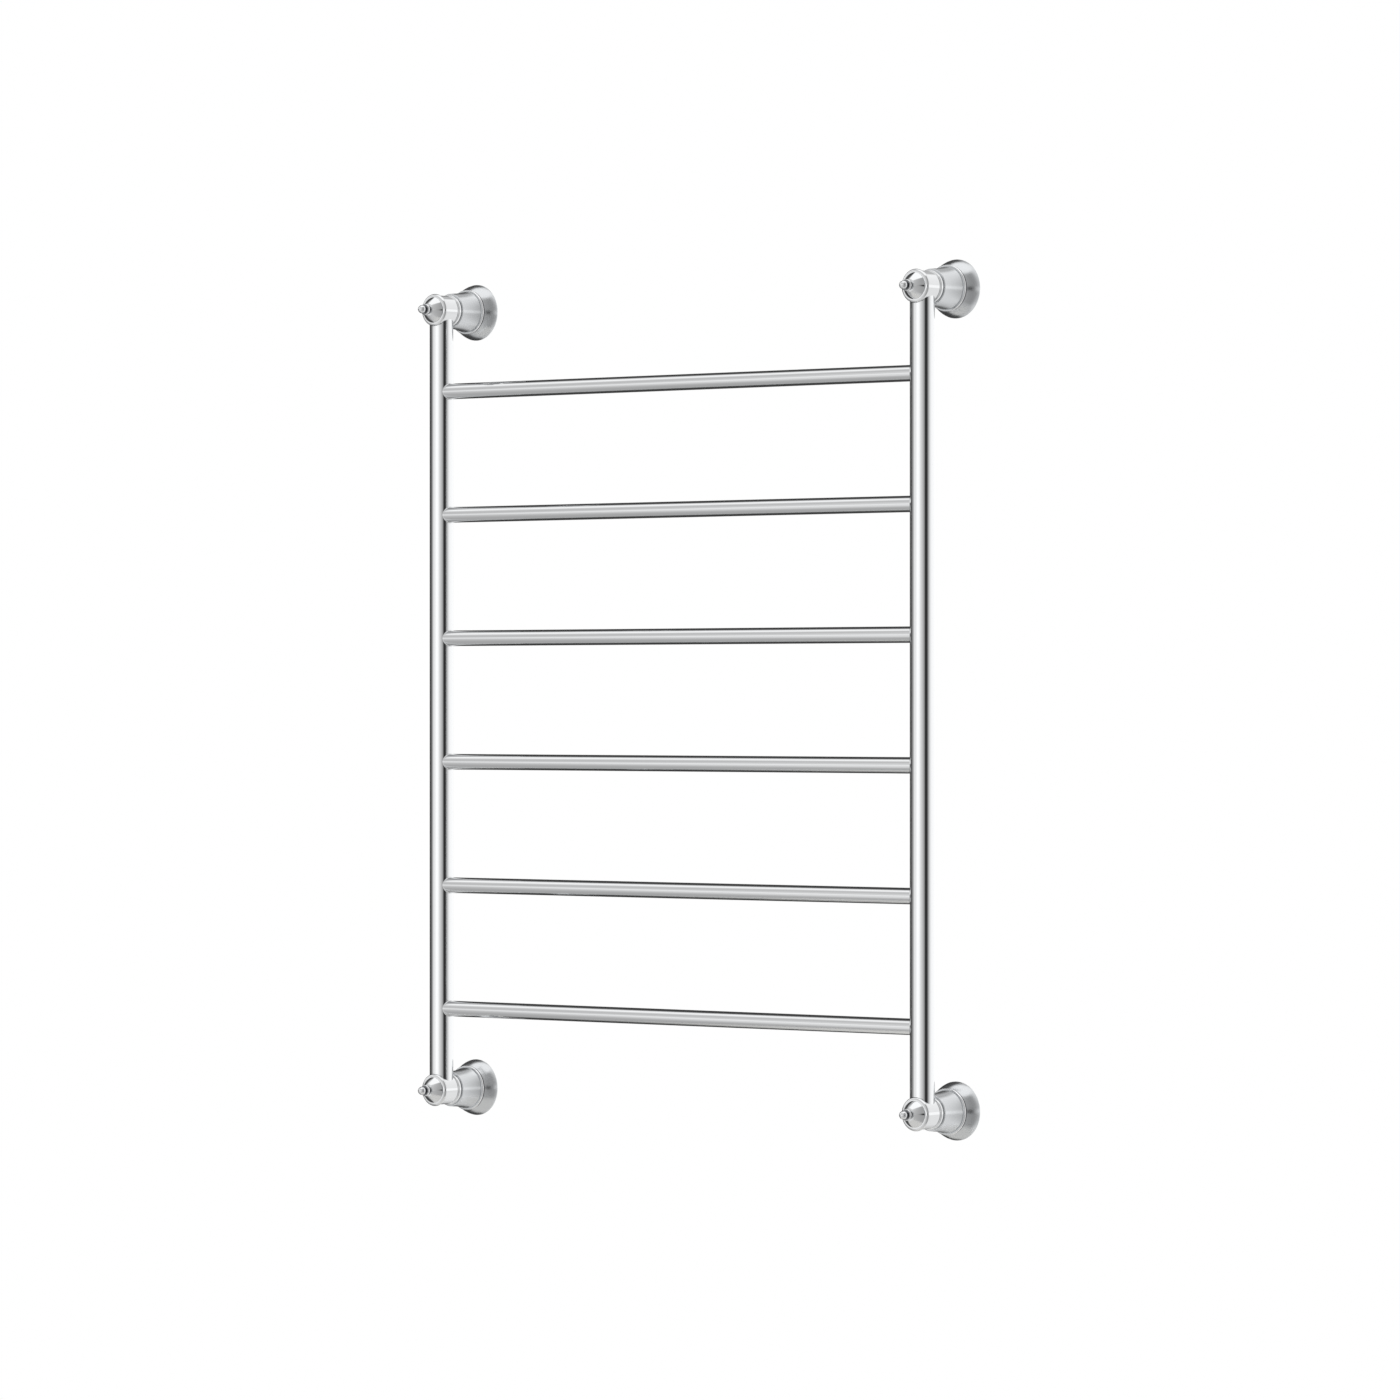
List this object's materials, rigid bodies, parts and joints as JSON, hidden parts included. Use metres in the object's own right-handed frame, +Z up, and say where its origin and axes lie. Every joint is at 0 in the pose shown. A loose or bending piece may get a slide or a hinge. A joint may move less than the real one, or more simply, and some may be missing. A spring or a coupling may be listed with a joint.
{
  "type": "wall-hung heated towel rack",
  "caption": "Ladder-shaped heated towel rack: round chromed rails between two round posts, held off the wall by turned arms with flared wall flanges and ball-tipped front caps.",
  "frame": {"origin": "centre of the wall screw pattern, on the wall plane", "axes": "+X along the rails to the right of someone facing the rack, +Y into the wall, +Z up"},
  "size_m": [0.808, 0.1051, 1.016],
  "materials": {
    "chromed_tube": "polished chrome plate on drawn brass tube",
    "chromed_casting": "polished chrome plate on turned brass",
    "chromed_spinning": "polished chrome plate on spun brass",
    "steel_tube": "bright drawn steel tube, hidden",
    "zinc_plate": "zinc-plated machined steel, hidden",
    "steel_fixing": "zinc-plated steel screws",
    "tinned_tag": "tinned copper tag",
    "black_rubber": "moulded black rubber",
    "silicone_cable": "extruded silicone sheath",
    "silicone_moulding": "moulded silicone sleeve",
    "cutout_can": "drawn aluminium can"
  },
  "bodies": {
    "root": {"post_left": "chromed_tube", "post_right": "chromed_tube", "rail_1": "chromed_tube", "rail_2": "chromed_tube", "rail_3": "chromed_tube", "rail_4": "chromed_tube", "rail_5": "chromed_tube", "rail_6": "chromed_tube", "tee_top_left": "chromed_casting", "finial_top_left": "chromed_casting", "arm_top_left": "steel_tube", "flange_top_left": "chromed_spinning", "wall_plate_top_left": "zinc_plate", "tee_top_right": "chromed_casting", "finial_top_right": "chromed_casting", "arm_top_right": "steel_tube", "flange_top_right": "chromed_spinning", "wall_plate_top_right": "zinc_plate", "tee_bottom_left": "chromed_casting", "finial_bottom_left": "chromed_casting", "arm_bottom_left": "steel_tube", "flange_bottom_left": "chromed_spinning", "wall_plate_bottom_left": "zinc_plate", "tee_bottom_right": "chromed_casting", "finial_bottom_right": "chromed_casting", "arm_bottom_right": "steel_tube", "flange_bottom_right": "chromed_spinning", "wall_plate_bottom_right": "zinc_plate", "wire_grommet": "black_rubber", "earth_tag": "tinned_tag", "earth_screw": "steel_fixing", "finial_studs": "steel_fixing", "flange_o_rings": "black_rubber", "arm_grub_screws": "steel_fixing", "heating_cable": "silicone_cable", "cold_joint": "silicone_moulding", "cable_end_seal": "silicone_moulding", "thermal_cutout": "cutout_can"}
  },
  "joints": []
}
